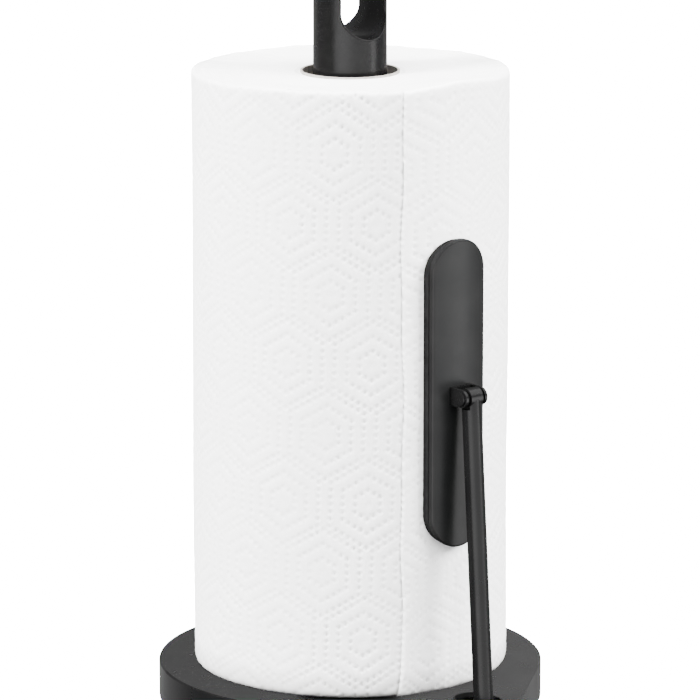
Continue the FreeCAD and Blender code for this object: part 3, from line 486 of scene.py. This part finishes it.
def roll_end(top):
    """One end of the roll: wound layers seen on edge, meeting the turned-over rim."""
    around, across = 720, 120
    angle = np.linspace(-math.pi, math.pi, around, endpoint=False)[:, None]
    turned = np.degrees(angle) % 360
    under_sheet = smooth_step((turned - 4) / 8) * (1 - smooth_step((turned - SHEET_END + 2) / 4))
    round_by = RIM_ROUND if top else FOOT_ROUND
    outer = roll_radius + (sheet_radius - roll_radius) * under_sheet - END_OVERLAP * round_by
    share = np.linspace(0, 1, across)[None, :]
    radius = core_radius + (outer - core_radius) * share
    wound = np.abs(((radius / WOUND_PITCH + angle / (2 * math.pi)) % 1.0) - 0.5) * 2
    relief = WOUND_DEPTH * wound + rng.normal(0, END_NOISE, (1, across))
    relief = relief + 0.12 * MM * np.sin(2 * angle + radius * 210)
    inner = smooth_step(1 - (radius - core_radius) / (3.0 * MM))
    settled = 0.05 * MM + (0.35 * MM + relief) * (1 - smooth_step((share - 0.93) / 0.07))
    sink = settled + 0.5 * MM * inner
    if top:
        height = roll_top - sink + rim_rise(angle) * smooth_step((share - 0.35) / 0.65)
    else:
        height = roll_bottom + sink
    points = np.stack(
        [radius * np.cos(angle), radius * np.sin(angle), height + 0 * angle], axis=-1
    ).reshape(-1, 3)
    index = np.arange(around * across).reshape(around, across)
    following = np.roll(index, -1, axis=0)
    faces = np.stack(
        [index[:, :-1], index[:, 1:], following[:, 1:], following[:, :-1]], axis=-1
    ).reshape(-1, 4)
    return points, faces if top else faces[:, ::-1]


def wavy_edge(height):
    """How far the free edge wanders round the roll, most at its curled lower corner."""
    above = height - roll_bottom
    return (
        0.55 * MM * np.sin(above * 52 + 0.6)
        + 0.3 * MM * np.sin(above * 131 + 2.0)
        - CORNER_PULL * np.exp(-above / (9 * MM))
    )


def sheet_lift(from_edge, height):
    """The loose sheet springs off the roll towards its free edge, less where the pad holds it."""
    pad_low, pad_high = node_box("pad_liner")
    beyond = np.maximum(pad_low.z - height, height - pad_high.z)
    width = (10 + 6 * smooth_step(beyond / (35 * MM))) * MM
    slack = np.clip(1 - from_edge / width, 0, None)
    pressed_edge = 1 - 0.85 * np.exp(-((np.clip(from_edge, 0, None) / (1.4 * MM)) ** 2))
    corner = CORNER_LIFT * np.exp(-(height - roll_bottom) / (8 * MM)) * slack
    return EDGE_LIFT * slack ** 2 * pressed_edge + corner


side_points, side_faces = embossed_wrap(
    SHEET_END - 360 - UNDER_FAR_END, SHEET_START + UNDER_FREE_EDGE, roll_radius, SIDE_MEDALLION
)
paper_pieces = [
    mesh_piece("towel_roll_side", side_points, side_faces, towel, "roll", ("paper_roll",))
]
sheet_points, sheet_faces = embossed_wrap(
    SHEET_START, SHEET_END, sheet_radius, SHEET_MEDALLION, wavy_edge, sheet_lift
)
paper_pieces.append(
    mesh_piece(
        "towel_loose_sheet",
        sheet_points,
        sheet_faces,
        loose_towel_painted_light,
        "roll",
        ("loose_outer_sheet",),
    )
)
for top, label in ((True, "towel_roll_top"), (False, "towel_roll_bottom")):
    end_points, end_faces = roll_end(top)
    paper_pieces.append(
        mesh_piece(label, end_points, end_faces, towel_ends, "roll", ())
    )
for piece in paper_pieces:
    piece.visible_glossy = False  # the satin coat shows the studio, not the paper


# --- torsion spring --------------------------------------------------------------------------

SPRING_RADIUS = 5.05 * MM
SPRING_WIRE = 0.45 * MM
SPRING_OUTER = 9.35 * MM  # where the coils begin, along the shaft from its middle
SPRING_INNER = 5.75 * MM
SPRING_TURNS = 3.25
SPRING_LEG = 14.0 * MM
SPRING_RISE = 5.2 * MM
SPRING_BEND = 1.0 * MM


def spring_route():
    """Middle line of the wire, from one foot over the bridge to the other foot."""
    turn = np.linspace(0, 2 * math.pi * SPRING_TURNS, 160)
    along = SPRING_OUTER + (SPRING_INNER - SPRING_OUTER) * turn / turn[-1]
    coil = np.stack([SPRING_RADIUS * np.sin(turn), along, -SPRING_RADIUS * np.cos(turn)], axis=-1)
    bend = np.linspace(0, math.pi / 2, 9)
    corner = np.stack(
        [
            np.full(bend.shape, SPRING_RADIUS),
            SPRING_INNER - SPRING_BEND * (1 - np.cos(bend)),
            SPRING_RISE - SPRING_BEND * (1 - np.sin(bend)),
        ],
        axis=-1,
    )
    foot = np.array([[-SPRING_LEG, SPRING_OUTER, -SPRING_RADIUS]])
    half = np.concatenate([foot, coil, corner])
    return np.concatenate([half, (half * (1, -1, 1))[::-1]])


def round_wire(route, radius, sides=12):
    """A closed tube of triangles along a route."""
    way = np.gradient(route, axis=0)
    way /= np.linalg.norm(way, axis=1)[:, None]
    across = np.array([0.0, 1.0, 0.0])
    turn = 2 * math.pi * np.arange(sides) / sides
    rings = []
    for middle, ahead in zip(route, way):
        across = across - ahead * np.dot(across, ahead)
        across /= np.linalg.norm(across)
        upward = np.cross(ahead, across)
        rings.append(
            middle + radius * (np.cos(turn)[:, None] * across + np.sin(turn)[:, None] * upward)
        )
    points = np.concatenate([*rings, route[:1], route[-1:]])
    index = np.arange(len(route) * sides).reshape(len(route), sides)
    beside = np.roll(index, -1, axis=1)
    first_end, last_end = len(points) - 2, len(points) - 1
    faces = [
        np.stack([index[:-1], beside[:-1], beside[1:]], axis=-1).reshape(-1, 3),
        np.stack([index[:-1], beside[1:], index[1:]], axis=-1).reshape(-1, 3),
        np.stack([beside[0], index[0], np.full(sides, first_end)], axis=-1),
        np.stack([index[-1], beside[-1], np.full(sides, last_end)], axis=-1),
    ]
    return points, np.concatenate(faces)


shaft_low, shaft_high = node_box("pivot_shaft")
pivot = (shaft_low + shaft_high) / 2
wire_points, wire_faces = round_wire(spring_route(), SPRING_WIRE)
spring = mesh_piece(
    "torsion_spring_wire",
    wire_points + np.array(pivot),
    wire_faces,
    wire,
    None,
    ("arm_torsion_spring",),
)
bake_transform(spring)


# --- floor, light and camera ------------------------------------------------------------------


FLOOR_REACH = 5
SWEEP_BEND = 2
SWEEP_TOP = 6
SWEEP_GLOW = 20.0


def studio_sweep():
    """Plain white floor that curves up into a wall all round, lit on its own."""
    profile = [(0, 0), (2, 0), (FLOOR_REACH, 0)]
    bends = 12
    for step in range(1, bends + 1):
        turn = math.radians(90 * step / bends)
        profile.append(
            (FLOOR_REACH + SWEEP_BEND * math.sin(turn), SWEEP_BEND - SWEEP_BEND * math.cos(turn))
        )
    profile.append((FLOOR_REACH + SWEEP_BEND, SWEEP_TOP))
    sides = 96
    points = [(0, 0, 0)]
    for reach, height in profile[1:]:
        for side in range(sides):
            turn = 2 * math.pi * side / sides
            points.append((reach * math.cos(turn), reach * math.sin(turn), height))
    faces = [(0, 1 + side, 1 + (side + 1) % sides) for side in range(sides)]
    for ring in range(len(profile) - 2):
        inner, outer = 1 + ring * sides, 1 + (ring + 1) * sides
        for side in range(sides):
            after = (side + 1) % sides
            faces.append((inner + side, outer + side, outer + after, inner + after))
    mesh = bpy.data.meshes.new("studio_sweep")
    mesh.from_pydata(points, [], faces)
    mesh.shade_smooth()
    surface = Shader("studio_white", (0.93, 0.93, 0.93), 0.9, specular=0.1)
    surface.surface.inputs["Emission Color"].default_value = (1, 1, 1, 1)
    surface.surface.inputs["Emission Strength"].default_value = SWEEP_GLOW
    mesh.materials.append(surface.material)
    sweep = bpy.data.objects.new("studio_sweep", mesh)
    bpy.context.scene.collection.objects.link(sweep)
    sweep.visible_diffuse = False
    sweep.visible_glossy = False
    sweep.visible_shadow = False


def soft_box(name, azimuth, elevation, distance, size, power):
    """A rectangular area light that faces the roll's middle."""
    light = bpy.data.lights.new(name, "AREA")
    light.shape = "RECTANGLE"
    light.size, light.size_y = size
    light.energy = power
    lamp = bpy.data.objects.new(name, light)
    turn, tilt = math.radians(azimuth), math.radians(elevation)
    aim = Vector((0, 0, (base_top + roll_top) / 2))
    offset = Vector(
        (math.sin(turn) * math.cos(tilt), -math.cos(turn) * math.cos(tilt), math.sin(tilt))
    )
    lamp.location = aim + offset * distance
    lamp.rotation_euler = (-offset).to_track_quat("-Z", "Y").to_euler()
    lamp.visible_glossy = False
    bpy.context.scene.collection.objects.link(lamp)


def studio_world(base, cards):
    """Dim room with soft-edged cards in it, each a patch of the sky.

    A card is its strength, the angles round from straight in front between which it fades in and
    out, and the heights between which it does, as sines of the elevation.
    """
    world = bpy.data.worlds.new("studio")
    world.use_nodes = True
    tree = world.node_tree

    def math_node(operation, *sources):
        made = tree.nodes.new("ShaderNodeMath")
        made.operation = operation
        for source, target in zip(sources, made.inputs):
            if isinstance(source, (int, float)):
                target.default_value = source
            else:
                tree.links.new(source, target)
        return made.outputs["Value"]

    def ramp(source, low, high):
        mapped = tree.nodes.new("ShaderNodeMapRange")
        mapped.interpolation_type = "SMOOTHSTEP"
        mapped.inputs["From Min"].default_value = low
        mapped.inputs["From Max"].default_value = high
        tree.links.new(source, mapped.inputs["Value"])
        return mapped.outputs["Result"]

    turned = tree.nodes.new("ShaderNodeMapping")
    turned.inputs["Rotation"].default_value = (0, 0, -math.radians(CAMERA_AZIMUTH))
    place = tree.nodes.new("ShaderNodeTexCoord").outputs["Generated"]
    tree.links.new(place, turned.inputs["Vector"])
    parts = tree.nodes.new("ShaderNodeSeparateXYZ")
    tree.links.new(turned.outputs["Vector"], parts.inputs["Vector"])
    ahead = math_node("MULTIPLY", parts.outputs["Y"], -1)
    angle = math_node("ARCTAN2", parts.outputs["X"], ahead)
    total = None
    for strength, angles, heights in cards:
        left, left_full, right_full, right = (math.radians(value) for value in angles)
        low, low_full, high_full, high = heights
        rising, falling = ramp(angle, left, left_full), ramp(angle, right, right_full)
        across = math_node("MULTIPLY", rising, falling)
        level = parts.outputs["Z"]
        up = math_node("MULTIPLY", ramp(level, low, low_full), ramp(level, high, high_full))
        patch = math_node("MULTIPLY", math_node("MULTIPLY", across, up), strength)
        total = patch if total is None else math_node("ADD", total, patch)
    background = tree.nodes["Background"]
    background.inputs["Color"].default_value = (1, 1, 1, 1)
    tree.links.new(math_node("ADD", total, base), background.inputs["Strength"])
    bpy.context.scene.world = world


CAMERA_AZIMUTH = 51.0
CAMERA_PITCH = 12.715
CAMERA_DISTANCE = 2.2726  # level distance from the spindle's axis
CAMERA_RISE = 0.6604  # above the base's top
CAMERA_LENS = 257.6


def photo_camera():
    """A long lens, looking slightly down, with the arm to the right of the middle."""
    camera = bpy.data.cameras.new("camera")
    camera.lens = CAMERA_LENS
    camera.clip_end = 50
    holder = bpy.data.objects.new("camera", camera)
    turn = math.radians(CAMERA_AZIMUTH)
    holder.location = (
        CAMERA_DISTANCE * math.sin(turn),
        -CAMERA_DISTANCE * math.cos(turn),
        CAMERA_RISE + base_top,
    )
    holder.rotation_euler = (math.radians(90 - CAMERA_PITCH), 0, turn)
    bpy.context.scene.collection.objects.link(holder)
    bpy.context.scene.camera = holder


ROOM_GLOW = 0.26
LOW_BAND = (-0.62, -0.45, 0.02, 0.2)  # what upright surfaces mirror towards the camera
WALL_BAND = (-0.1, 0.05, 0.4, 0.7)
FLOOR_BAND = (-0.62, -0.45, -0.1, 0.05)
CARDS = (
    (1.7, (-56, -40, 82, 96), LOW_BAND),
    (1.4, (-56, -40, -20, 20), LOW_BAND),
    (2.8, (70, 76, 82, 88), LOW_BAND),
    (2.2, (40, 70, 130, 160), (0.35, 0.5, 0.85, 0.95)),
    (0.34, (100, 130, 179, 181), WALL_BAND),
    (0.10, (-181, -179, -130, -100), WALL_BAND),
    (0.14, (100, 120, 179, 181), FLOOR_BAND),
    (0.20, (-181, -179, -130, -110), FLOOR_BAND),
)
# name, degrees round from straight in front, elevation, distance, size in metres and power in watts
LAMPS = (
    ("key", -68, 30, 2.2, (0.6, 0.8), 335),
    ("fill", 72, 34, 2.4, (1.2, 1.2), 255),
    ("front", 28, 30, 2.6, (1.4, 1.4), 70),
    ("top", 0, 80, 2.0, (1.0, 1.0), 150),
)

studio_sweep()
studio_world(ROOM_GLOW, CARDS)
for lamp_name, aside, elevation, distance, size, power in LAMPS:
    soft_box(lamp_name, CAMERA_AZIMUTH + aside, elevation, distance, size, power)
photo_camera()
